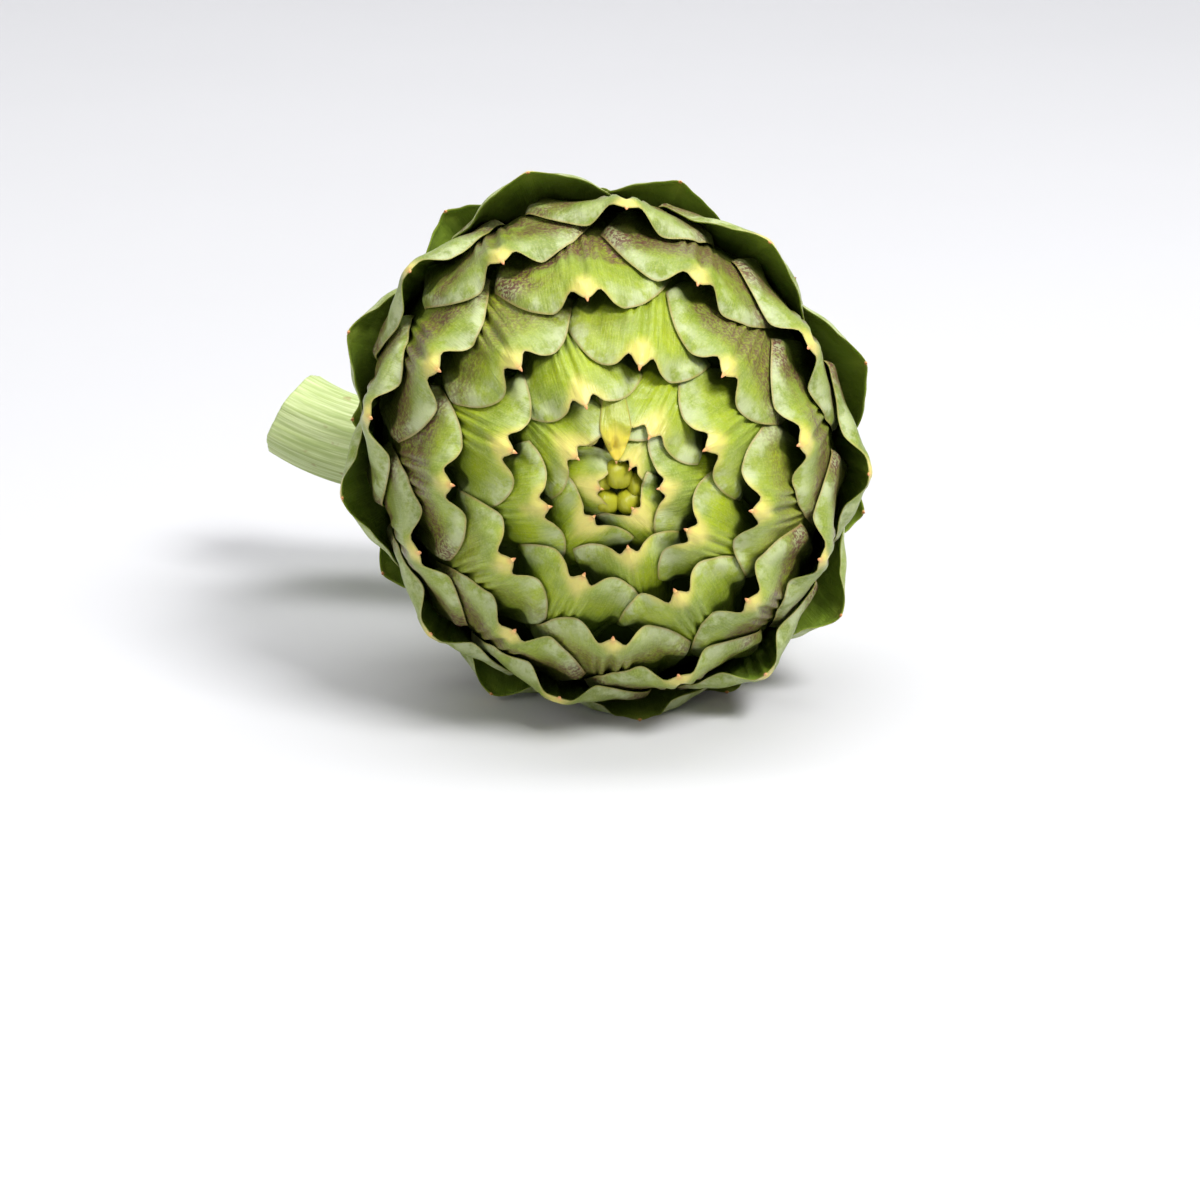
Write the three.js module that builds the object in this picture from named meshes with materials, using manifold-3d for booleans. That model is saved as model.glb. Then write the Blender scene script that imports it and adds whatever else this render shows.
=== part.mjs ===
// An artichoke lying on its side: a head of overlapping bracts and a short curved stem.
// Millimetres, +Z up. The tip of the head points towards -Y and the stem leaves towards +Y.

import * as THREE from 'three';
import { mergeVertices } from 'three/addons/utils/BufferGeometryUtils.js';
import Module from 'manifold-3d';

const wasm = await Module();
wasm.setup();

// Size of the head, measured to the surface that the bract tips reach
const HEAD_RADIUS = 58.5;
const TIP_REACH = 54;
const BASE_REACH = 44;
const CORE_DEPTH = 8;

// The head is a little oval across its axis
const OVAL_X = -0.0233;
const OVAL_XZ = -0.0347;

// How it lies: the tip is raised a little, and the lowest bracts are pressed flat
const TIP_RAISED_DEG = 6.5;
const CENTRE_HEIGHT = 53.8;

// Bract spiral, counted from the tip of the head outwards
const BRACT_COUNT = 70;
const FIRST_AZIMUTH_DEG = 174;
const TURN_DEG = 137.508;
const FIRST_POLAR_DEG = 3.2;
const POLAR_STEP_DEG = 1.28;
const POLAR_GROWTH_DEG = 0.0098;

// Bract shape
const BRACT_WIDTH_FIRST = 13;
const BRACT_WIDTH_STEP = 0.8;
const BRACT_WIDTH_MAX = 42;
const BRACT_LENGTH_MAX = 44;
const BRACT_THICKNESS = 1.6;
const NOTCH_DEPTH = 3.2;
const SHOULDER_DROP = 9;
const ROOT_POLAR_DEG = 163;
const COLUMNS_LARGE = [-1, -0.78, -0.48, -0.22, 0, 0.22, 0.48, 0.78, 1];
const COLUMNS_SMALL = [-1, -0.48, 0, 0.48, 1];
const ROWS_LARGE = [0, 0.16, 0.5, 1];
const ROWS_SMALL = [0, 0.3, 1];
const SMALL_BRACTS = 13;

// Stem: centre line in the frame of the head, radius and ribs
const STEM_PATH = [
  new THREE.Vector3(0, 33, 0),
  new THREE.Vector3(0, 72, -8),
  new THREE.Vector3(-43, 66, -21),
  new THREE.Vector3(-71, 78, -4),
];
const STEM_RADIUS = 10.6;
const STEM_FLARE = 1.9;
const STEM_RIBS = 7;
const STEM_RIB_HEIGHT = 0.3;
const STEM_STATIONS = 16;
const STEM_SIDES = 28;
const STEM_GAP = 0.35;

const radians = THREE.MathUtils.degToRad;
const smoothstep = THREE.MathUtils.smoothstep;

// Distance along the outside of the head, from its tip to each polar angle
function meridianLengths(steps) {
  const lengths = [0];
  for (let k = 1; k <= steps; k += 1) {
    const a = (Math.PI * (k - 1)) / steps;
    const b = (Math.PI * k) / steps;
    const reach = b <= Math.PI / 2 ? TIP_REACH : BASE_REACH;
    const radial = HEAD_RADIUS * (Math.sin(b) - Math.sin(a));
    const axial = reach * (Math.cos(b) - Math.cos(a));
    lengths.push(lengths[k - 1] + Math.hypot(radial, axial));
  }
  return lengths;
}

const MERIDIAN_STEPS = 360;
const MERIDIAN = meridianLengths(MERIDIAN_STEPS);

function lengthAtPolar(polar) {
  const place = Math.min(Math.max(polar / Math.PI, 0), 1) * MERIDIAN_STEPS;
  const k = Math.min(Math.floor(place), MERIDIAN_STEPS - 1);
  return MERIDIAN[k] + (MERIDIAN[k + 1] - MERIDIAN[k]) * (place - k);
}

// Past the tip of the head the distance is negative and the polar angle goes on evenly
function polarAtLength(length) {
  if (length <= 0) {
    return length / HEAD_RADIUS;
  }
  let k = 0;
  while (k < MERIDIAN_STEPS - 1 && MERIDIAN[k + 1] < length) {
    k += 1;
  }
  const share = (length - MERIDIAN[k]) / (MERIDIAN[k + 1] - MERIDIAN[k]);
  return (Math.PI * (k + Math.min(share, 1))) / MERIDIAN_STEPS;
}

// A point at a polar angle and azimuth, sunk by a depth below the outside of the head
function headPoint(polar, azimuth, depth) {
  const reach = polar <= Math.PI / 2 ? TIP_REACH : BASE_REACH;
  const outward = new THREE.Vector2(reach * Math.sin(polar), HEAD_RADIUS * Math.cos(polar)).normalize();
  const radius = HEAD_RADIUS * Math.sin(polar) - depth * outward.x;
  const forward = reach * Math.cos(polar) - depth * outward.y;
  const x = radius * Math.cos(azimuth);
  const z = radius * Math.sin(azimuth);
  return new THREE.Vector3(x * (1 + OVAL_X) + z * OVAL_XZ, -forward, x * OVAL_XZ + z * (1 - OVAL_X));
}

// From the frame of the head to the way it lies
function lie(point) {
  const turned = point.clone().applyAxisAngle(new THREE.Vector3(1, 0, 0), radians(-TIP_RAISED_DEG));
  turned.z += CENTRE_HEIGHT;
  return turned;
}

function solidOf(points, faces) {
  const vertProperties = new Float32Array(points.length * 3);
  points.forEach((point, k) => point.toArray(vertProperties, k * 3));
  const mesh = new wasm.Mesh({ numProp: 3, vertProperties, triVerts: new Uint32Array(faces.flat()) });
  return new wasm.Manifold(mesh);
}

function quad(a, b, c, d) {
  return [[a, b, c], [a, c, d]];
}

// The measures of one bract by its number in the spiral
function bractMeasures(number) {
  const polar = radians(FIRST_POLAR_DEG + POLAR_STEP_DEG * number + POLAR_GROWTH_DEG * number ** 2);
  const azimuth = radians(FIRST_AZIMUTH_DEG + TURN_DEG * number);
  const narrowing = Math.max(0, number - 50);
  const width = Math.min(BRACT_WIDTH_FIRST + BRACT_WIDTH_STEP * number, BRACT_WIDTH_MAX) - narrowing;
  const tip = lengthAtPolar(polar);
  const toRoot = lengthAtPolar(radians(ROOT_POLAR_DEG)) - tip;
  const growth = Math.min(1, 0.3 + number / 22);
  const flareShare = smoothstep(number, 34, 44);
  return {
    azimuth,
    width,
    tip,
    length: Math.min(BRACT_LENGTH_MAX, 16 + 1.2 * number, toRoot),
    notch: NOTCH_DEPTH * growth,
    shoulder: SHOULDER_DROP * growth * (width / BRACT_WIDTH_MAX + 0.15),
    slope: 0.2 + 0.2 * (1 - smoothstep(number, 4, 14)),
    flare: flareShare * (3.5 + 2.5 * Math.sin(azimuth)),
    thickness: BRACT_THICKNESS * Math.min(1, 0.65 + number / 40),
  };
}

// How far behind the spine the rim lies, at a place across the bract from -1 to 1
function rimAt(bract, across) {
  const side = Math.abs(across);
  const lobe = -bract.notch * Math.sin(Math.PI * Math.min(side / 0.95, 0.5));
  const shoulder = Math.max(0, (side - 0.42) / 0.58);
  return lobe + (bract.notch + bract.shoulder) * (1 - Math.sqrt(1 - Math.min(shoulder, 1) ** 2));
}

function halfWidthAt(bract, back) {
  const toRoot = smoothstep(back, bract.shoulder, bract.length);
  return (bract.width / 2) * (1 - 0.4 * toRoot);
}

// Depth of the outer face: it sinks towards the root and rolls in along the rim and sides
function depthAt(bract, across, back, fromRim) {
  const along = Math.max(back + bract.notch, 0);
  const side = Math.abs(across);
  const sink = bract.slope * along + bract.flare * (1 - Math.exp(-along / 10));
  const roll = 1.7 * smoothstep(side, 0.1, 0.6) * Math.exp(-fromRim / 3);
  const sideDroop = 2.2 * side ** 3 * (bract.width / BRACT_WIDTH_MAX);
  return sink + roll + sideDroop;
}

// One bract: a blade at the rim that grows into a wedge sunk in the core
function bractSolid(number) {
  const bract = bractMeasures(number);
  const small = number < SMALL_BRACTS;
  const rows = small ? ROWS_SMALL : ROWS_LARGE;
  const columns = small ? COLUMNS_SMALL : COLUMNS_LARGE;
  const outer = [];
  const inner = [];
  for (const row of rows) {
    for (const across of columns) {
      const rim = rimAt(bract, across);
      const back = rim + (bract.length - rim) * row;
      const polar = polarAtLength(Math.max(bract.tip + back, 0.6));
      const radius = Math.hypot(HEAD_RADIUS * Math.sin(polar), 3);
      const azimuth = bract.azimuth + (across * halfWidthAt(bract, back)) / radius;
      const depth = depthAt(bract, across, back, back - rim);
      const wedge = Math.max(CORE_DEPTH + 3 - depth, bract.thickness);
      const thickness = row === 0 ? bract.thickness : wedge;
      outer.push(lie(headPoint(polar, azimuth, depth)));
      inner.push(lie(headPoint(polar, azimuth, depth + thickness)));
    }
  }
  return solidOf([...outer, ...inner], bladeFaces(rows.length, columns.length));
}

// Faces of a closed blade: an outer and an inner grid of points, joined round their border
function bladeFaces(rowCount, columnCount) {
  const faces = [];
  const inner = rowCount * columnCount;
  for (let row = 0; row < rowCount - 1; row += 1) {
    for (let column = 0; column < columnCount - 1; column += 1) {
      const a = row * columnCount + column;
      const b = a + 1;
      const c = b + columnCount;
      const d = a + columnCount;
      faces.push(...quad(a, d, c, b));
      faces.push(...quad(inner + a, inner + b, inner + c, inner + d));
    }
  }
  for (const border of borderOf(rowCount, columnCount)) {
    faces.push(...quad(border[0], border[1], inner + border[1], inner + border[0]));
  }
  return faces;
}

function borderOf(rowCount, columnCount) {
  const ring = [];
  for (let column = 0; column < columnCount - 1; column += 1) {
    ring.push(column);
  }
  for (let row = 0; row < rowCount - 1; row += 1) {
    ring.push(row * columnCount + columnCount - 1);
  }
  for (let column = columnCount - 1; column > 0; column -= 1) {
    ring.push((rowCount - 1) * columnCount + column);
  }
  for (let row = rowCount - 1; row > 0; row -= 1) {
    ring.push(row * columnCount);
  }
  return ring.map((place, k) => [place, ring[(k + 1) % ring.length]]);
}

// The closed body under the bracts
function coreSolid() {
  const rings = 18;
  const sides = 28;
  const points = [lie(headPoint(0, 0, CORE_DEPTH))];
  for (let ring = 1; ring < rings; ring += 1) {
    for (let side = 0; side < sides; side += 1) {
      points.push(lie(headPoint((Math.PI * ring) / rings, (2 * Math.PI * side) / sides, CORE_DEPTH)));
    }
  }
  points.push(lie(headPoint(Math.PI, 0, CORE_DEPTH)));
  return solidOf(points, capsuleFaces(rings - 1, sides));
}

// Faces of a closed tube of rings with a point at each end
function capsuleFaces(ringCount, sides) {
  const faces = [];
  const last = 1 + ringCount * sides;
  for (let side = 0; side < sides; side += 1) {
    const next = (side + 1) % sides;
    faces.push([0, 1 + side, 1 + next]);
    faces.push([last, last - sides + next, last - sides + side]);
    for (let ring = 0; ring < ringCount - 1; ring += 1) {
      const a = 1 + ring * sides;
      faces.push(...quad(a + side, a + sides + side, a + sides + next, a + next));
    }
  }
  return faces;
}

// The stem, made larger all round and longer at its start by a clearance
function stemSolid(clearance) {
  const curve = new THREE.CubicBezierCurve3(...STEM_PATH);
  const up = new THREE.Vector3(0, 0, 1);
  const points = [];
  for (let station = 0; station < STEM_STATIONS; station += 1) {
    const share = station / (STEM_STATIONS - 1);
    const centre = curve.getPoint(share);
    const along = curve.getTangent(share);
    const right = new THREE.Vector3().crossVectors(along, up).normalize();
    const over = new THREE.Vector3().crossVectors(right, along).normalize();
    if (station === 0) {
      centre.addScaledVector(along, -clearance);
      points.push(lie(centre));
    }
    for (let side = 0; side < STEM_SIDES; side += 1) {
      const angle = (2 * Math.PI * side) / STEM_SIDES;
      const rib = STEM_RIB_HEIGHT * Math.cos(STEM_RIBS * angle);
      const flare = STEM_FLARE * (1 - smoothstep(share, 0, 0.45));
      const radius = STEM_RADIUS + rib + flare + clearance;
      const place = centre.clone();
      place.addScaledVector(right, radius * Math.cos(angle));
      place.addScaledVector(over, radius * Math.sin(angle));
      points.push(lie(place));
    }
    if (station === STEM_STATIONS - 1) {
      points.push(lie(centre));
    }
  }
  return solidOf(points, capsuleFaces(STEM_STATIONS, STEM_SIDES));
}

// A block that takes away all that would lie below the surface the artichoke rests on
function belowTable() {
  const block = new THREE.BoxGeometry(400, 400, 60);
  block.translate(0, 0, -30);
  block.deleteAttribute('normal');
  block.deleteAttribute('uv');
  const merged = mergeVertices(block);
  const vertProperties = new Float32Array(merged.getAttribute('position').array);
  const triVerts = new Uint32Array(merged.index.array);
  return new wasm.Manifold(new wasm.Mesh({ numProp: 3, vertProperties, triVerts }));
}

// Core and bracts as one body, flat where it rests, with a socket for the stem
function headSolid() {
  let head = coreSolid();
  for (let number = 0; number < BRACT_COUNT; number += 1) {
    head = head.add(bractSolid(number));
  }
  head = head.subtract(belowTable());
  head = head.subtract(stemSolid(STEM_GAP));
  const bodies = head.decompose();
  bodies.sort((a, b) => b.volume() - a.volume());
  return bodies[0];
}

function meshOf(name, solid, look) {
  const body = solid.getMesh();
  const geometry = new THREE.BufferGeometry();
  geometry.setAttribute('position', new THREE.BufferAttribute(body.vertProperties, body.numProp));
  geometry.setIndex(new THREE.BufferAttribute(body.triVerts, 1));
  const mesh = new THREE.Mesh(geometry, new THREE.MeshStandardMaterial(look));
  mesh.name = name;
  return mesh;
}

const artichoke = new THREE.Group();
artichoke.add(meshOf('head', headSolid(), { color: '#8b9c52', roughness: 0.62, metalness: 0 }));
artichoke.add(meshOf('stem', stemSolid(0), { color: '#a9b37a', roughness: 0.7, metalness: 0 }));

// The origin is under the middle of the whole, on the surface it rests on
const middle = new THREE.Box3().setFromObject(artichoke).getCenter(new THREE.Vector3());
artichoke.position.set(-middle.x, -middle.y, 0);

export default artichoke;
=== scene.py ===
# A globe artichoke lying on its side, seen from the tip of its head.
# The head's own frame is in millimetres: the tip points towards -Y and Z is up.

import math

import bpy
import numpy as np
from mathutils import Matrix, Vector


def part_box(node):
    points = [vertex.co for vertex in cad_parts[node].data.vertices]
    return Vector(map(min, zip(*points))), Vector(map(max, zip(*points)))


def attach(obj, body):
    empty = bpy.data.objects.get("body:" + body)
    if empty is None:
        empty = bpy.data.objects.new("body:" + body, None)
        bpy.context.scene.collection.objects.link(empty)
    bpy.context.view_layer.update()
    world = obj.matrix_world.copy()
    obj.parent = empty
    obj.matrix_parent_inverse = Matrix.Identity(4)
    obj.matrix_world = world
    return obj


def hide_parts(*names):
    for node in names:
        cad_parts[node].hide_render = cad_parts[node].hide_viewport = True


MM = 0.001
SEED = 7

# Head, measured to the surface that the bract tips reach
HEAD_RADIUS = 58.5
TIP_REACH = 54.0
BASE_REACH = 44.0
CORE_DEPTH = 9.5
CORE_DEPTH_AT_TIP = 4.6
CORE_TIP_REACH = 13.0
NECK_DEPTH = 2.2
NECK_POLAR = (math.radians(150.0), math.radians(163.0))
OVAL_X = -0.0233
OVAL_XZ = -0.0347

# How it lies
TIP_RAISED = math.radians(6.5)
CENTRE_HEIGHT = 53.8
PRESS_SOFTNESS = 0.8

# Bract spiral, counted from the tip of the head outwards
BRACT_COUNT = 70
POINTED_BRACT = 2
POINTED_LAID_AFTER = 9

# Bracts of the heart, laid first: azimuth in degrees, way from the tip of the head, width
HEART_BRACTS = ((58, 5.4, 16.0), (98, 9.8, 22.0))

# Curled leaves of the bud: place across and up from the tip of the head, width, height, turn in degrees
BUD_CURLS = (
    (0.5, 3.0, 6.6, 6.4, 0),
    (-3.5, 2.2, 4.4, 7.0, 20),
    (-2.3, -3.1, 6.0, 5.2, -20),
    (2.7, -3.0, 6.4, 5.6, 20),
    (4.5, 0.6, 4.6, 6.0, 5),
)
FIRST_AZIMUTH = math.radians(174.0)
TURN = math.radians(137.508)
FIRST_POLAR_DEG = 3.2
POLAR_STEP_DEG = 1.28
POLAR_GROWTH_DEG = 0.0098

# Bract shape
WIDTH_FIRST = 22.0
WIDTH_STEP = 0.95
WIDTH_MAX = 48.0
LENGTH_MAX = 46.0
BAY_DEPTH = 2.8
BAY_PLACE = 0.14
LOBE_PLACE = 0.33
SHOULDER_DROP = 16.0
THICKNESS = 0.8
DEEPEST = 10.5
ROOT_POLAR = math.radians(163.0)
LAYER_GAP = 0.04
COLUMNS = 73
ROWS = 37

# Stem, in the head's frame
STEM_PATH = ((0, 33, 0), (0, 72, -8), (-43, 66, -21), (-71, 78, -4))
STEM_RADIUS = 10.6
STEM_FLARE = 1.9
STEM_RIBS = 7
STEM_RIB_HEIGHT = 0.3

# Bud leaves, measured from the outside of the head
CURL_DEPTH = 3.4
CURL_SUNK = 2.7

# Camera: the photo is 1200 px square and shows 4.6 px for each mm of the head's width
PHOTO_SIZE_PX = 1200.0
PHOTO_HEAD_PX = (606.0, 447.0)
PHOTO_PX_PER_MM = 4.6
CAMERA_DISTANCE = 800.0
CAMERA_AZIMUTH = math.radians(-2.4)
CAMERA_ELEVATION = math.radians(16.0)
SENSOR_WIDTH = 36.0

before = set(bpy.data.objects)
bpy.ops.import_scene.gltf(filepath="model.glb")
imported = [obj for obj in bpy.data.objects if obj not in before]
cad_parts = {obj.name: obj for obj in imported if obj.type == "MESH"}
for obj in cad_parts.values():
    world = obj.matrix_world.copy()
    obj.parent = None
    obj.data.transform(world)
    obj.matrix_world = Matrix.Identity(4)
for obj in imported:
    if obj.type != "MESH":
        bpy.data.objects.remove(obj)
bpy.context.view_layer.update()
rng = np.random.default_rng(SEED)


def smoothstep(x, low, high):
    t = np.clip((x - low) / (high - low), 0.0, 1.0)
    return t * t * (3.0 - 2.0 * t)


# Distance along the outside of the head from its tip, against polar angle
def meridian_table(steps=1440):
    polar = np.linspace(0.0, math.pi, steps + 1)
    reach = np.where(polar[1:] <= math.pi / 2, TIP_REACH, BASE_REACH)
    radial = HEAD_RADIUS * np.diff(np.sin(polar))
    axial = reach * np.diff(np.cos(polar))
    return polar, np.concatenate(([0.0], np.cumsum(np.hypot(radial, axial))))


MERIDIAN_POLAR, MERIDIAN_LENGTH = meridian_table()


def length_at(polar):
    return np.interp(polar, MERIDIAN_POLAR, MERIDIAN_LENGTH)


def polar_at(length):
    return np.interp(length, MERIDIAN_LENGTH, MERIDIAN_POLAR)


# Points at polar angles and azimuths, sunk by a depth below the outside of the head
def head_points(polar, azimuth, depth):
    reach = np.where(polar <= math.pi / 2, TIP_REACH, BASE_REACH)
    normal_r = reach * np.sin(polar)
    normal_a = HEAD_RADIUS * np.cos(polar)
    size = np.hypot(normal_r, normal_a)
    radius = HEAD_RADIUS * np.sin(polar) - depth * normal_r / size
    forward = reach * np.cos(polar) - depth * normal_a / size
    x = radius * np.cos(azimuth)
    z = radius * np.sin(azimuth)
    return np.stack((x * (1 + OVAL_X) + z * OVAL_XZ, -forward, x * OVAL_XZ + z * (1 - OVAL_X)), -1)


# From the head's frame to the way it lies, with the lowest bracts pressed on the surface
def lie(points):
    c, s = math.cos(TIP_RAISED), math.sin(TIP_RAISED)
    y = points[..., 1] * c + points[..., 2] * s
    z = points[..., 2] * c - points[..., 1] * s + CENTRE_HEIGHT
    pressed = np.where(z < 12 * PRESS_SOFTNESS, PRESS_SOFTNESS * np.log1p(np.exp(z / PRESS_SOFTNESS)), z)
    return np.stack((points[..., 0], y, pressed), -1)


# The measures of one bract, by its number in the spiral. Numbers below zero are the heart.
class Bract:
    def __init__(self, number):
        self.number = number
        self.age = max(number, 0) / (BRACT_COUNT - 1)
        self.azimuth = FIRST_AZIMUTH + TURN * number
        self.pointed = number == POINTED_BRACT
        self.tip = self.tip_length(number)
        self.width = min(WIDTH_FIRST + WIDTH_STEP * number, WIDTH_MAX) - 1.2 * max(0, number - 48)
        self.length = min(LENGTH_MAX, 16 + 1.2 * number, float(length_at(ROOT_POLAR)) - self.tip)
        self.growth = min(1.0, 0.3 + number / 22)
        self.slope = 0.4 + 0.12 * float(1 - smoothstep(number, 3, 14))
        self.sunk = 0.0
        upper = 0.5 + 0.5 * math.sin(self.azimuth + 0.17)
        loose = float(smoothstep(number, 37, 42))
        self.flare = loose * (0.3 + 1.1 * upper)
        self.raised = loose * 2.4 * upper * float(smoothstep(51 - number, 0, 8))
        self.rolled = 4.3 * (1 - 0.7 * loose * upper)
        if number > 46:
            self.sunk = 3.0 * float(smoothstep(number, 46, 56)) * (1.2 - 0.5 * upper)
        if number == POINTED_BRACT:
            self.width = 7.0
            self.length = 16.0
            self.sunk = -0.6
        if number < 0:
            azimuth, _, self.width = HEART_BRACTS[-1 - number]
            self.azimuth = math.radians(azimuth)
            self.growth = 0.4
            self.slope = 0.35
            self.sunk = 0.6
        self.bay = BAY_DEPTH * self.growth * (1 - 0.5 * loose)
        self.shoulder = SHOULDER_DROP * self.growth * self.width / WIDTH_MAX
        if self.pointed:
            self.shoulder = 0.95 * self.width
        self.thickness = THICKNESS * min(1.0, 0.75 + max(number, 0) / 60)
        self.shown = self.tip_length(number + 8) - self.tip
        self.tone = rng.random()
        self.arch = rng.uniform(0.8, 1.25)
        self.left_lobe, self.right_lobe = rng.uniform(-0.6, 0.9, 2)

    @staticmethod
    def tip_length(number):
        if number < 0:
            return HEART_BRACTS[-1 - number][1]
        polar = FIRST_POLAR_DEG + POLAR_STEP_DEG * number + POLAR_GROWTH_DEG * number**2
        return float(length_at(math.radians(min(polar, 175.0))))

    # How far behind the spine the rim lies: a point at the spine, two bays, two lobes, two shoulders
    def rim(self, across):
        side = np.abs(across)
        if self.pointed:
            return self.shoulder * side**1.7
        bays = self.bay * np.exp(-(((side - BAY_PLACE) / 0.08) ** 2))
        lobe = np.where(across < 0, self.left_lobe, self.right_lobe) * self.growth
        lobes = (0.4 + lobe) * smoothstep(side, 0.05, LOBE_PLACE)
        past = np.clip((side - LOBE_PLACE) / (1 - LOBE_PLACE), 0, 1)
        return bays + lobes + self.shoulder * past**1.8

    def half_width(self, back):
        return self.width / 2 * (1 - 0.35 * smoothstep(back, self.shoulder, self.length))

    # Shortest way from a place on the blade to its rim or side
    def edge(self, across, from_rim):
        step = 0.004
        rise = (self.rim(across + step) - self.rim(across - step)) / (step * self.width)
        return np.minimum(from_rim / np.hypot(1, rise), (1 - np.abs(across)) * self.width / 2)

    # Depth of the outer face before the bract is laid on those under it
    def depth(self, across, back, edge):
        along = np.maximum(back + 1.0, 0)
        side = np.abs(across) * self.width / 2
        sink = DEEPEST * (1 - np.exp(-self.slope * along / DEEPEST))
        sink = sink + self.sunk + self.flare * (1 - np.exp(-along / 10))
        raised = self.raised * np.exp(-along / 14)
        if self.pointed:
            return sink + 1.6 * across**2 + 0.5 * np.exp(-((edge / 1.7) ** 2))
        roll = self.rolled * self.growth * smoothstep(side, 2.5, 8.5) * np.exp(-((edge / 3.6) ** 1.4))
        curl = 0.8 * self.growth * np.exp(-((edge / 1.8) ** 2))
        droop = 3.2 * np.abs(across) ** 2.2 * (self.width / WIDTH_MAX)
        arch = 3.0 * self.arch * self.growth * (1 - across**2) * np.exp(-((edge / 13) ** 2))
        boss = 0.7 * self.growth * np.exp(-((side / 3.2) ** 2)) * np.exp(-(((edge - 2.5) / 3.5) ** 2))
        return sink - raised + roll + curl + droop - arch - boss


def core_depth(length):
    return CORE_DEPTH - (CORE_DEPTH - CORE_DEPTH_AT_TIP) * np.exp(-((length / CORE_TIP_REACH) ** 2))


# The height of what has been laid so far, on a flat map of the head seen from its tip
MAP_CELL = 0.5
MAP_REACH = 156.0


class LayerMap:
    def __init__(self):
        self.axis = np.arange(-MAP_REACH, MAP_REACH + MAP_CELL, MAP_CELL)
        x, y = np.meshgrid(self.axis, self.axis, indexing="ij")
        self.length = np.hypot(x, y)
        self.azimuth = np.arctan2(y, x)
        self.radius = np.hypot(HEAD_RADIUS * np.sin(polar_at(self.length)), 3.0)
        self.depth = core_depth(self.length)

    def sample(self, length, azimuth):
        u = (length * np.cos(azimuth) + MAP_REACH) / MAP_CELL
        v = (length * np.sin(azimuth) + MAP_REACH) / MAP_CELL
        last = len(self.axis) - 2
        i = np.clip(np.floor(u).astype(int), 0, last)
        j = np.clip(np.floor(v).astype(int), 0, last)
        a = np.clip(u - i, 0, 1)
        b = np.clip(v - j, 0, 1)
        d = self.depth
        low = d[i, j] * (1 - a) + d[i + 1, j] * a
        high = d[i, j + 1] * (1 - a) + d[i + 1, j + 1] * a
        return low * (1 - b) + high * b

    # Lays the outer face of a bract over the map
    def lay(self, bract, column_at, row_share, depth):
        turn = (self.azimuth - bract.azimuth + math.pi) % (2 * math.pi) - math.pi
        back = self.length - bract.tip
        across = turn * self.radius / bract.half_width(back)
        inside = (np.abs(across) <= 1) & (back <= bract.length)
        across = across[inside]
        back = back[inside]
        rim = bract.rim(across)
        share = (back - rim) / (bract.length - rim)
        kept = share >= 0
        columns = np.interp(across[kept], column_at, np.arange(len(column_at)))
        rows = np.interp(share[kept], row_share, np.arange(len(row_share)))
        i = np.minimum(rows.astype(int), len(row_share) - 2)
        j = np.minimum(columns.astype(int), len(column_at) - 2)
        a = rows - i
        b = columns - j
        near = depth[i, j] * (1 - b) + depth[i, j + 1] * b
        far = depth[i + 1, j] * (1 - b) + depth[i + 1, j + 1] * b
        values = near * (1 - a) + far * a
        places = np.argwhere(inside)[kept]
        old = self.depth[places[:, 0], places[:, 1]]
        self.depth[places[:, 0], places[:, 1]] = np.minimum(old, values)


def spread(values, reach, combine):
    for axis in (0, 1):
        padded = np.pad(values, [(reach, reach) if k == axis else (0, 0) for k in (0, 1)], mode="edge")
        size = values.shape[axis]
        shifted = [np.take(padded, range(k, k + size), axis) for k in range(2 * reach + 1)]
        values = combine(shifted)
    return values


# How far a bract must be lifted to lie on those under it, as a smooth sheet
def smooth_lift(lift):
    widest = spread(lift, 2, lambda shifted: np.max(shifted, 0))
    return spread(widest, 2, lambda shifted: np.mean(shifted, 0))


def column_places():
    t = np.linspace(-1, 1, COLUMNS)
    return 0.45 * t + 0.55 * np.sin(t * math.pi / 2)


def row_places():
    return np.linspace(0, 1, ROWS) ** 1.7


# Builds one bract on the layer map and returns its points, faces and marks
def build_bract(bract, layers):
    column_at = column_places()
    row_share = row_places()
    across, share = np.meshgrid(column_at, row_share)
    rim = bract.rim(across)
    back = rim + (bract.length - rim) * share
    from_rim = back - rim
    length = np.maximum(bract.tip + back, 0.4)
    polar = polar_at(length)
    radius = np.hypot(HEAD_RADIUS * np.sin(polar), 3.0)
    azimuth = bract.azimuth + across * bract.half_width(back) / radius
    edge = bract.edge(across, from_rim)
    rounding = np.sqrt(np.clip(1 - (1 - np.clip(edge / 0.4, 0, 1)) ** 2, 0, 1))
    thin = 0.45 + 0.55 * smoothstep(edge, 0.3, 4.0)
    thickness = bract.thickness * (0.1 + 0.9 * rounding) * thin * (1 + 0.5 * smoothstep(from_rim, 5, 30))
    wanted = bract.depth(across, back, edge)
    under = layers.sample(length, azimuth)
    lift = np.maximum(0, wanted + thickness + LAYER_GAP - under)
    depth = wanted - smooth_lift(lift)
    layers.lay(bract, column_at, row_share, depth)
    outer = lie(head_points(polar, azimuth, depth + bract.thickness * 0.2 * (1 - rounding)))
    inner = lie(head_points(polar, azimuth, depth + thickness))
    marks = {
        "side": across * bract.width / 2,
        "back": back,
        "edge": edge,
        "shown": back / bract.shown,
        "age": np.full(across.shape, bract.age),
        "tone": np.full(across.shape, bract.tone),
        "gold": np.full(across.shape, float(bract.number == POINTED_BRACT)),
        "bud": np.zeros(across.shape),
    }
    return outer, inner, marks, (length, azimuth, depth)


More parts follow.
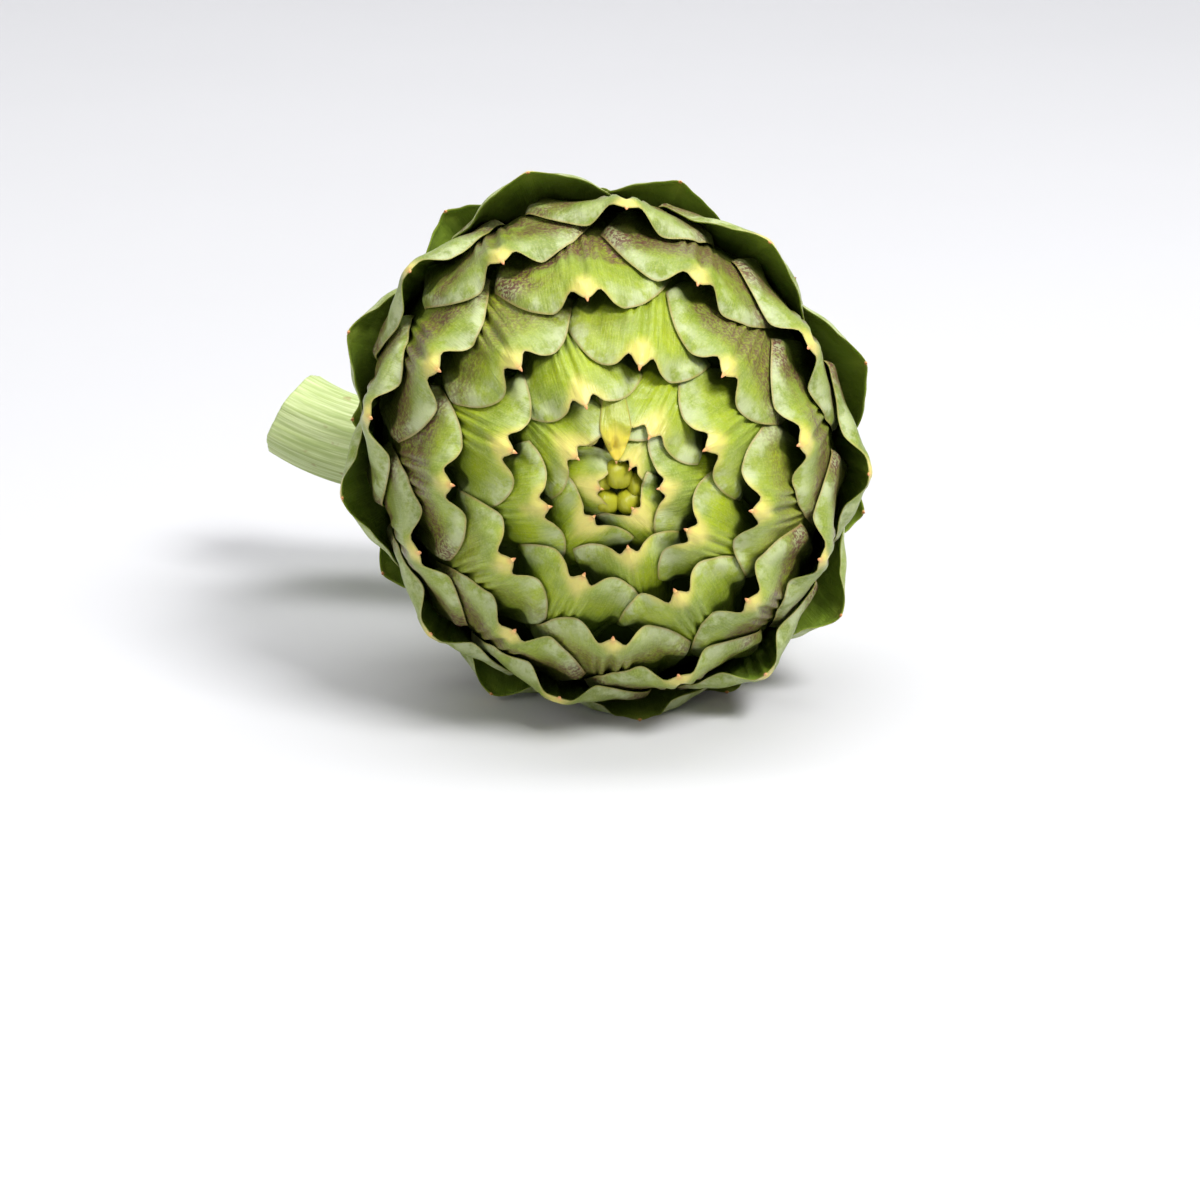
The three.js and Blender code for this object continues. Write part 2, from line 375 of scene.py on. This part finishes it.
def blade_faces(rows, columns):
    k = np.arange(rows * columns).reshape(rows, columns)
    a, b, c, d = k[:-1, :-1], k[:-1, 1:], k[1:, 1:], k[1:, :-1]
    inner = rows * columns
    outer_faces = np.stack((a, d, c, b), -1).reshape(-1, 4)
    inner_faces = np.stack((a, b, c, d), -1).reshape(-1, 4) + inner
    ring = np.concatenate((k[0, :-1], k[:-1, -1], k[-1, :0:-1], k[:0:-1, 0]))
    following = np.roll(ring, -1)
    border = np.stack((ring, following, following + inner, ring + inner), -1)
    return np.concatenate((outer_faces, inner_faces, border))


def make_mesh(name, points, faces, marks, material):
    mesh = bpy.data.meshes.new(name)
    mesh.from_pydata((points * MM).tolist(), [], faces.tolist())
    for key, values in marks.items():
        layer = mesh.attributes.new(key, "FLOAT", "POINT")
        layer.data.foreach_set("value", np.ascontiguousarray(values, np.float32))
    mesh.polygons.foreach_set("use_smooth", np.ones(len(mesh.polygons), bool))
    mesh.materials.append(material)
    mesh.update()
    obj = bpy.data.objects.new(name, mesh)
    bpy.context.scene.collection.objects.link(obj)
    return obj


# Materials
class Nodes:
    def __init__(self, name):
        self.material = bpy.data.materials.new(name)
        self.material.use_nodes = True
        self.tree = self.material.node_tree
        self.tree.nodes.clear()
        self.shader = self.tree.nodes.new("ShaderNodeBsdfPrincipled")
        output = self.tree.nodes.new("ShaderNodeOutputMaterial")
        self.tree.links.new(self.shader.outputs[0], output.inputs["Surface"])

    def put(self, socket, value):
        if isinstance(value, bpy.types.NodeSocket):
            self.tree.links.new(value, socket)
        elif isinstance(value, tuple) and len(value) == 3 and socket.type == "RGBA":
            socket.default_value = (*value, 1.0)
        else:
            socket.default_value = value

    def mark(self, name):
        node = self.tree.nodes.new("ShaderNodeAttribute")
        node.attribute_name = name
        return node.outputs["Fac"]

    def math(self, operation, a, b=0.0, clamp=False):
        node = self.tree.nodes.new("ShaderNodeMath")
        node.operation = operation
        node.use_clamp = clamp
        self.put(node.inputs[0], a)
        self.put(node.inputs[1], b)
        return node.outputs[0]

    def fade(self, value, low, high, start=0.0, end=1.0):
        node = self.tree.nodes.new("ShaderNodeMapRange")
        node.interpolation_type = "SMOOTHSTEP"
        self.put(node.inputs["Value"], value)
        self.put(node.inputs["From Min"], low)
        self.put(node.inputs["From Max"], high)
        self.put(node.inputs["To Min"], start)
        self.put(node.inputs["To Max"], end)
        return node.outputs["Result"]

    def mix(self, share, a, b):
        node = self.tree.nodes.new("ShaderNodeMix")
        node.data_type = "RGBA"
        self.put(node.inputs["Factor"], share)
        self.put(node.inputs[6], a)
        self.put(node.inputs[7], b)
        return node.outputs[2]

    def vector(self, x, y, z):
        node = self.tree.nodes.new("ShaderNodeCombineXYZ")
        self.put(node.inputs[0], x)
        self.put(node.inputs[1], y)
        self.put(node.inputs[2], z)
        return node.outputs[0]

    def noise(self, place, scale, detail=3.0, roughness=0.55):
        node = self.tree.nodes.new("ShaderNodeTexNoise")
        self.put(node.inputs["Vector"], place)
        node.inputs["Scale"].default_value = scale
        node.inputs["Detail"].default_value = detail
        node.inputs["Roughness"].default_value = roughness
        return node.outputs["Fac"]

    def object_place(self):
        return self.tree.nodes.new("ShaderNodeTexCoord").outputs["Object"]

    def bump(self, height, strength, distance):
        node = self.tree.nodes.new("ShaderNodeBump")
        node.inputs["Strength"].default_value = strength
        node.inputs["Distance"].default_value = distance
        self.put(node.inputs["Height"], height)
        self.put(self.shader.inputs["Normal"], node.outputs["Normal"])


def bract_material():
    n = Nodes("bract_green")
    age = n.mark("age")
    signed_side = n.mark("side")
    side = n.math("ABSOLUTE", signed_side)
    edge = n.mark("edge")
    back = n.mark("back")
    shown = n.mark("shown")
    tone = n.mark("tone")
    place = n.object_place()

    patchy = n.noise(place, 110.0, 4.0)
    cloudy = n.noise(place, 38.0, 2.0)
    fine = n.noise(place, 900.0, 3.0)
    fibre_place = n.vector(n.math("MULTIPLY", signed_side, 1.6), n.math("MULTIPLY", back, 0.13), n.math("MULTIPLY", tone, 50.0))
    fibre = n.noise(fibre_place, 1.6, 4.0, 0.6)

    vivid = n.mix(n.fade(age, 0.04, 0.6), (0.37, 0.46, 0.003), (0.19, 0.27, 0.005))
    dull = n.mix(n.fade(age, 0.1, 0.7), (0.25, 0.34, 0.02), (0.13, 0.18, 0.03))
    green = n.mix(n.fade(patchy, 0.4, 0.62), vivid, dull)
    green = n.mix(n.math("MULTIPLY", n.fade(fibre, 0.35, 0.7), 0.4), green, (0.11, 0.18, 0.003))
    green = n.mix(n.math("MULTIPLY", tone, 0.15), green, (0.3, 0.34, 0.03))
    green = n.mix(n.math("MULTIPLY", n.fade(cloudy, 0.5, 0.68), 0.35), green, (0.24, 0.28, 0.07))
    fleck = n.fade(n.noise(place, 2200.0, 2.0), 0.48, 0.66, 0.0, 0.3)
    green = n.mix(fleck, green, (0.45, 0.49, 0.14))

    # Whitish band along the rolled lobes near the rim: partly the bract's waxy bloom, partly a painted highlight
    # where the rolled lobes would catch the light
    lobe_wax_sheen_zone = n.math("MULTIPLY", n.fade(side, 2.5, 7.0), n.fade(edge, 6.5, 0.6))
    film = n.noise(place, 210.0, 4.0, 0.65)
    wax_and_painted_sheen = n.math("MULTIPLY", n.math("MULTIPLY", lobe_wax_sheen_zone, n.fade(film, 0.4, 0.6, 0.1, 1.0)), 0.72)
    green = n.mix(wax_and_painted_sheen, green, (0.53, 0.58, 0.34))

    pale_shape = n.math("ADD", n.math("MULTIPLY", side, 1.0), n.math("MULTIPLY", back, 0.88))
    pale_shape = n.math("ADD", pale_shape, n.math("MULTIPLY", n.math("SUBTRACT", patchy, 0.5), 7.0))
    pale = n.fade(pale_shape, 8.0, 2.4)
    green = n.mix(n.math("MULTIPLY", pale, 0.85), green, (0.76, 0.65, 0.17))
    blush_tip = n.math("MULTIPLY", n.fade(side, 1.3, 0.2), n.fade(back, 2.2, 0.3))
    green = n.mix(n.math("MULTIPLY", blush_tip, 0.8), green, (0.75, 0.4, 0.14))

    speck = n.fade(n.noise(place, 1500.0, 2.0), 0.42, 0.56)
    blush_zone = n.math("MULTIPLY", n.fade(shown, 0.35, 0.8), n.fade(age, 0.18, 0.32))
    blush_zone = n.math("MULTIPLY", blush_zone, n.fade(age, 0.68, 0.86, 1.0, 0.25))
    blush_zone = n.math("MULTIPLY", blush_zone, n.fade(n.noise(place, 50.0, 3.0), 0.37, 0.48))
    purple = n.math("MULTIPLY", blush_zone, n.math("ADD", n.math("MULTIPLY", speck, 0.7), 0.3))
    green = n.mix(purple, green, (0.12, 0.045, 0.035))

    line = n.math("MULTIPLY", n.fade(edge, 0.55, 0.1), 0.65)
    green = n.mix(line, green, (0.4, 0.28, 0.1))
    green = n.mix(n.fade(fine, 0.3, 0.7, 0.0, 0.1), green, (0.5, 0.55, 0.2))
    gold = n.math("MULTIPLY", n.mark("gold"), n.fade(back, 9.0, 3.0, 0.1, 0.75))
    green = n.mix(gold, green, (0.72, 0.58, 0.03))
    # Bud leaves: olive, with painted shade that darkens them around their outlines, between the bulbs
    olive_with_painted_shade = n.mix(n.fade(edge, 1.0, 0.2), (0.4, 0.38, 0.015), (0.1, 0.09, 0.01))
    green = n.mix(n.math("MULTIPLY", n.mark("bud"), 0.85), green, olive_with_painted_shade)
    green = n.mix(n.math("MULTIPLY", n.mark("inner"), 0.9), green, (0.24, 0.36, 0.035))
    # Painted shade: the colour goes near black where a bract lies under the bracts laid over it
    green = n.mix(n.fade(n.mark("painted_shade_under_cover"), 0.9, 3.6, 0.0, 0.85), green, (0.02, 0.03, 0.001))
    n.put(n.shader.inputs["Base Color"], green)

    rough = n.fade(n.math("ADD", wax_and_painted_sheen, n.math("MULTIPLY", patchy, 0.3)), 0.1, 0.6, 0.36, 0.55)
    n.put(n.shader.inputs["Roughness"], rough)
    n.shader.inputs["Specular IOR Level"].default_value = 0.45
    n.shader.inputs["Subsurface Weight"].default_value = 0.12
    n.shader.inputs["Subsurface Radius"].default_value = (0.6, 0.9, 0.15)
    n.shader.inputs["Subsurface Scale"].default_value = 0.0015
    dimples = n.noise(place, 170.0, 2.0)
    relief = n.math("ADD", n.math("MULTIPLY", fibre, 0.25), n.math("MULTIPLY", fine, 0.12))
    relief = n.math("ADD", relief, dimples)
    n.bump(relief, 0.55, 0.0013)
    return n.material


def spine_material():
    n = Nodes("spine_orange")
    share = n.mark("share")
    colour = n.mix(n.fade(share, 0.0, 0.6), (0.75, 0.5, 0.16), (0.7, 0.3, 0.12))
    colour = n.mix(n.fade(share, 0.75, 1.0), colour, (0.12, 0.04, 0.02))
    n.put(n.shader.inputs["Base Color"], colour)
    n.shader.inputs["Roughness"].default_value = 0.45
    return n.material


def stem_material():
    n = Nodes("stem_green")
    around = n.mark("around")
    along = n.mark("along")
    cut = n.mark("cut")
    place = n.object_place()
    streak_place = n.vector(n.math("MULTIPLY", around, 70.0), n.math("MULTIPLY", along, 0.04), 0.0)
    streak = n.noise(streak_place, 1.0, 4.0, 0.6)
    colour = n.mix(n.fade(streak, 0.35, 0.65), (0.6, 0.68, 0.34), (0.36, 0.45, 0.15))
    spots = n.fade(n.noise(place, 260.0, 2.0), 0.66, 0.74)
    colour = n.mix(n.math("MULTIPLY", spots, 0.5), colour, (0.3, 0.2, 0.07))
    face = n.mix(n.fade(n.noise(place, 700.0, 3.0), 0.35, 0.65), (0.6, 0.62, 0.36), (0.42, 0.4, 0.2))
    colour = n.mix(cut, colour, face)
    n.put(n.shader.inputs["Base Color"], colour)
    n.shader.inputs["Roughness"].default_value = 0.6
    n.shader.inputs["Subsurface Weight"].default_value = 0.1
    n.shader.inputs["Subsurface Radius"].default_value = (0.6, 0.9, 0.2)
    n.shader.inputs["Subsurface Scale"].default_value = 0.002
    n.bump(streak, 0.5, 0.0006)
    return n.material


def core_material():
    n = Nodes("core_near_black_painted_shade")
    place = n.object_place()
    # The core shows only through the gaps between bracts and is coloured near black there as painted shade; the
    # neck at the base stays pale
    colour = n.mix(n.noise(place, 120.0), (0.03, 0.05, 0.004), (0.06, 0.08, 0.01))
    pale = n.mix(n.noise(place, 300.0), (0.3, 0.4, 0.12), (0.48, 0.54, 0.22))
    colour = n.mix(n.mark("neck"), colour, pale)
    n.put(n.shader.inputs["Base Color"], colour)
    n.shader.inputs["Roughness"].default_value = 0.7
    return n.material


def floor_material():
    n = Nodes("pale_paper")
    place = n.object_place()
    colour = n.mix(n.noise(place, 6.0), (0.61, 0.61, 0.625), (0.63, 0.63, 0.645))
    n.put(n.shader.inputs["Base Color"], colour)
    n.shader.inputs["Roughness"].default_value = 0.9
    return n.material


# Head: bracts in groups from the tip outwards
GROUPS = (
    ("crown_bracts", -len(HEART_BRACTS), 12),
    ("inner_bracts", 12, 26),
    ("middle_bracts", 26, 41),
    ("outer_bracts", 41, 56),
    ("basal_bracts", 56, BRACT_COUNT),
)


def laying_order(bract):
    if bract.number < 0:
        return -BRACT_COUNT - bract.number
    return POINTED_LAID_AFTER + 0.5 if bract.number == POINTED_BRACT else bract.number


def build_head(shift):
    layers = LayerMap()
    material = bract_material()
    bracts = [Bract(number) for number in range(-len(HEART_BRACTS), BRACT_COUNT)]
    bracts.sort(key=laying_order)
    faces = blade_faces(ROWS, COLUMNS)
    objects = []
    built = [(bract, build_bract(bract, layers)) for bract in bracts]
    spines = [spine(bract, outer, inner) for bract, (outer, inner, _, _) in built]
    # The finished map is softened so that the painted shade under covering bracts has soft edges
    layers.depth = spread(layers.depth, 2, lambda shifted: np.mean(shifted, 0))
    for name, first, end in GROUPS:
        points = []
        all_faces = []
        marks = {}
        for bract, (outer, inner, own, place) in built:
            if not first <= bract.number < end:
                continue
            all_faces.append(faces + sum(len(p) for p in points))
            points.append(np.concatenate((outer.reshape(-1, 3), inner.reshape(-1, 3))))
            # How far each point lies under the bracts laid over it; the material paints shade from this
            own["painted_shade_under_cover"] = np.maximum(0, place[2] - layers.sample(place[0], place[1]))
            own_flat = {key: np.tile(values.ravel(), 2) for key, values in own.items()}
            own_flat["inner"] = np.repeat((0.0, 1.0), outer.shape[0] * outer.shape[1])
            for key, values in own_flat.items():
                marks.setdefault(key, []).append(values)
        joined = {key: np.concatenate(values) for key, values in marks.items()}
        points = np.concatenate(points) + shift
        objects.append(make_mesh(name, points, np.concatenate(all_faces), joined, material))
    objects.append(build_bud(layers, material, shift))
    objects.append(build_spines(spines, shift))
    objects.append(build_core(shift))
    return objects


# A small leaf curled over itself like a hood, as a closed bulb with a crease under its tip
def curl(place, layers):
    across, upward, width, height, turn = place
    rings, sides = 24, 36
    share = np.linspace(0, 1, rings)
    angle = np.linspace(0, 2 * math.pi, sides, endpoint=False)
    down, around = np.meshgrid(share * math.pi, angle, indexing="ij")
    x = width / 2 * np.sin(down) ** 0.8 * np.cos(around)
    lean = math.radians(turn)
    front = np.clip(np.sin(around), 0, 1)
    forward = CURL_DEPTH * np.sin(down) ** 0.8 * np.sin(around) * (1 + 0.15 * np.cos(3 * around))
    z = height / 2 * np.cos(down)
    crease = 0.5 * np.exp(-((x / 0.5) ** 2)) * front * smoothstep(down, 1.4, 2.6)
    forward = forward - crease
    centre_x = across + x * math.cos(lean) - z * math.sin(lean)
    centre_z = upward + x * math.sin(lean) + z * math.cos(lean)
    length = np.hypot(centre_x, centre_z)
    sunk = CURL_SUNK + 0.12 * math.hypot(across, upward) ** 2
    points = lie(head_points(polar_at(length), np.arctan2(centre_z, centre_x), sunk - forward))
    flat = np.full(x.size, 0.0)
    marks = {
        "side": x.ravel(),
        "back": flat + 20.0,
        # For the bud the edge mark is a painted-shade mask: high on the front of each bulb and low around its
        # outline
        "edge": (0.15 + 1.5 * front * np.sqrt(np.sin(down) + 1e-9)).ravel(),
        "shown": flat,
        "age": flat,
        "tone": flat + 0.5,
        "gold": flat,
        "bud": flat + 1.0,
        "painted_shade_under_cover": flat,
        "inner": flat,
    }
    return points.reshape(-1, 3), marks, tube_faces(rings, sides)


def build_bud(layers, material, shift):
    points = []
    faces = []
    marks = {}
    for place in BUD_CURLS:
        own_points, own_marks, own_faces = curl(place, layers)
        faces.append(own_faces + sum(len(p) for p in points))
        points.append(own_points)
        for key, values in own_marks.items():
            marks.setdefault(key, []).append(values)
    joined = {key: np.concatenate(values) for key, values in marks.items()}
    return make_mesh("bud", np.concatenate(points) + shift, np.concatenate(faces), joined, material)


# A short thorn that leaves the rim at the middle of a bract
def spine(bract, outer, inner):
    middle = COLUMNS // 2
    root = (outer[2, middle] + inner[2, middle]) / 2
    towards = outer[0, middle] - outer[5, middle]
    towards = towards / np.linalg.norm(towards)
    across = outer[2, middle + 2] - outer[2, middle - 2]
    across = across / np.linalg.norm(across)
    up = np.cross(across, towards)
    up = up * np.sign(np.dot(up, outer[2, middle] - inner[2, middle]))
    size = 0.4 + 0.4 * bract.growth
    rings = 7
    sides = 10
    share = np.linspace(0, 1, rings)
    angle = np.linspace(0, 2 * math.pi, sides, endpoint=False)
    radius = 0.62 * size * (1 - share) ** 0.8
    along = 1.5 * size * share
    centre = root + along[:, None] * towards + (0.35 * size * share**2)[:, None] * up
    ring = (np.cos(angle)[None, :, None] * across) + 0.7 * (np.sin(angle)[None, :, None] * up)
    points = centre[:, None, :] + radius[:, None, None] * ring
    return points.reshape(-1, 3), np.repeat(share, sides), rings, sides


def tube_faces(rings, sides):
    k = np.arange(rings * sides).reshape(rings, sides)
    following = np.roll(k, -1, axis=1)
    return np.stack((k[:-1], following[:-1], following[1:], k[1:]), -1).reshape(-1, 4)


def build_spines(spines, shift):
    points = []
    faces = []
    share = []
    count = 0
    for own_points, own_share, rings, sides in spines:
        points.append(own_points)
        share.append(own_share)
        faces.append(tube_faces(rings, sides) + count)
        count += len(own_points)
    points = np.concatenate(points) + shift
    points[:, 2] = np.maximum(points[:, 2], 0.05)
    return make_mesh("spines", points, np.concatenate(faces), {"share": np.concatenate(share)}, spine_material())


def build_core(shift):
    rings, sides = 60, 90
    polar, azimuth = np.meshgrid(np.linspace(0.001, math.pi - 0.001, rings), np.linspace(0, 2 * math.pi, sides, endpoint=False), indexing="ij")
    neck = smoothstep(polar, *NECK_POLAR)
    depth = core_depth(length_at(polar)) + 0.4
    depth = depth + neck * (NECK_DEPTH - depth)
    points = lie(head_points(polar, azimuth, depth)).reshape(-1, 3) + shift
    return make_mesh("core", points, tube_faces(rings, sides), {"neck": neck.ravel()}, core_material())


def bezier(t):
    p = np.array(STEM_PATH, float)
    t = t[:, None]
    place = (1 - t) ** 3 * p[0] + 3 * (1 - t) ** 2 * t * p[1] + 3 * (1 - t) * t**2 * p[2] + t**3 * p[3]
    along = 3 * (1 - t) ** 2 * (p[1] - p[0]) + 6 * (1 - t) * t * (p[2] - p[1]) + 3 * t**2 * (p[3] - p[2])
    return place, along / np.linalg.norm(along, axis=1, keepdims=True)


def stem_points(stations, sides, roughness):
    share = np.linspace(0, 1, stations)
    centre, along = bezier(share)
    right = np.cross(along, (0, 0, 1))
    right /= np.linalg.norm(right, axis=1, keepdims=True)
    over = np.cross(right, along)
    angle = np.linspace(0, 2 * math.pi, sides, endpoint=False)
    rib = STEM_RIB_HEIGHT * np.cos(STEM_RIBS * angle)
    fine = roughness * (np.sin(23 * angle + 1.3) + 0.6 * np.sin(41 * angle))
    flare = STEM_FLARE * (1 - smoothstep(share, 0, 0.45))
    radius = STEM_RADIUS + rib[None, :] + fine[None, :] + flare[:, None]
    ring = np.cos(angle)[None, :, None] * right[:, None, :] + np.sin(angle)[None, :, None] * over[:, None, :]
    return lie(centre[:, None, :] + radius[..., None] * ring), lie(centre), share, angle


def build_stem(shift):
    stations, sides = 160, 150
    rings, centres, share, angle = stem_points(stations, sides, 0.07)
    cut_steps = 14
    cut_share = np.linspace(1, 0.02, cut_steps)[1:]
    end = rings[-1]
    cut = centres[-1] + cut_share[:, None, None] * (end - centres[-1])
    points = np.concatenate((rings, cut)).reshape(-1, 3) + shift
    total = stations + cut_steps - 1
    marks = {
        "around": np.tile(angle / (2 * math.pi), total),
        "along": np.repeat(np.concatenate((share * 100, np.full(cut_steps - 1, 100.0))), sides),
        "cut": np.repeat(np.concatenate((np.zeros(stations), np.ones(cut_steps - 1))), sides),
    }
    return make_mesh("stem_skin", points, tube_faces(total, sides)[:, ::-1], marks, stem_material())


# Where the head's frame lies in the row frame: the CAD stem against the same stem made here
def frame_shift():
    rings, _, _, _ = stem_points(16, 28, 0.0)
    own = rings.reshape(-1, 3)
    low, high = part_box("stem")
    shift = (np.array(low) + np.array(high)) / 2 / MM - (own.min(0) + own.max(0)) / 2
    return np.array((shift[0], shift[1], 0.0))


def build_stage():
    width, depth, rise = 3.0, 1.6, 1.2
    turn = 0.6
    profile = [(-2.0, 0.0), (depth - turn, 0.0)]
    for k in range(1, 13):
        a = k / 12 * math.pi / 2
        profile.append((depth - turn + turn * math.sin(a), turn - turn * math.cos(a)))
    profile.append((depth, rise + turn))
    points = [(x, y, z) for x in (-width, width) for y, z in profile]
    count = len(profile)
    faces = [(k, count + k, count + k + 1, k + 1) for k in range(count - 1)]
    mesh = bpy.data.meshes.new("backdrop")
    mesh.from_pydata(points, [], faces)
    mesh.polygons.foreach_set("use_smooth", [True] * len(faces))
    mesh.materials.append(floor_material())
    floor = bpy.data.objects.new("backdrop", mesh)
    bpy.context.scene.collection.objects.link(floor)


def soft_light(name, place, target, size, power, colour=(1, 1, 1)):
    light = bpy.data.lights.new(name, "AREA")
    light.shape = "RECTANGLE"
    light.size, light.size_y = size
    light.energy = power
    light.color = colour
    obj = bpy.data.objects.new(name, light)
    obj.location = place
    obj.rotation_mode = "QUATERNION"
    obj.rotation_quaternion = (Vector(target) - Vector(place)).to_track_quat("-Z", "Y")
    bpy.context.scene.collection.objects.link(obj)


def build_lights():
    bpy.context.scene.view_settings.view_transform = "Standard"
    world = bpy.data.worlds.new("studio")
    world.use_nodes = True
    world.node_tree.nodes["Background"].inputs["Color"].default_value = (0.95, 0.96, 1.0, 1.0)
    world.node_tree.nodes["Background"].inputs["Strength"].default_value = 0.3
    bpy.context.scene.world = world
    target = (0.0, 0.0, 0.05)
    soft_light("key", (0.5, -0.6, 0.95), target, (0.45, 0.35), 15.5)
    soft_light("fill", (-0.8, -0.8, 0.6), target, (0.8, 0.8), 3.4)
    soft_light("back_wash", (0.0, 0.3, 1.6), (0.0, 1.2, 0.3), (2.0, 0.8), 24.0)


def build_camera(head_centre):
    back = Vector((
        math.sin(CAMERA_AZIMUTH) * math.cos(CAMERA_ELEVATION),
        -math.cos(CAMERA_AZIMUTH) * math.cos(CAMERA_ELEVATION),
        math.sin(CAMERA_ELEVATION),
    ))
    camera_data = bpy.data.cameras.new("camera")
    camera_data.sensor_fit = "HORIZONTAL"
    camera_data.sensor_width = SENSOR_WIDTH
    camera_data.lens = PHOTO_PX_PER_MM * CAMERA_DISTANCE / PHOTO_SIZE_PX * SENSOR_WIDTH
    camera_data.clip_start = 0.05
    camera_data.clip_end = 20.0
    camera = bpy.data.objects.new("camera", camera_data)
    bpy.context.scene.collection.objects.link(camera)
    bpy.context.scene.camera = camera
    centre = Vector(head_centre) * MM
    camera.location = centre + back * CAMERA_DISTANCE * MM
    right = Vector((math.cos(CAMERA_AZIMUTH), math.sin(CAMERA_AZIMUTH), 0))
    up = back.cross(right)
    off_x = (PHOTO_SIZE_PX / 2 - PHOTO_HEAD_PX[0]) / PHOTO_PX_PER_MM * MM
    off_y = (PHOTO_SIZE_PX / 2 - PHOTO_HEAD_PX[1]) / PHOTO_PX_PER_MM * MM
    aim = centre + right * off_x - up * off_y
    camera.rotation_mode = "QUATERNION"
    camera.rotation_quaternion = (aim - camera.location).to_track_quat("-Z", "Y")


def main():
    shift = frame_shift()
    head_pieces = build_head(shift)
    stem = build_stem(shift)
    for piece in head_pieces:
        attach(piece, "root")
        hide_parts("head")
    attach(stem, "root")
    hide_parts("stem")
    build_stage()
    build_lights()
    build_camera(shift + np.array((0, 0, CENTRE_HEIGHT)))


main()
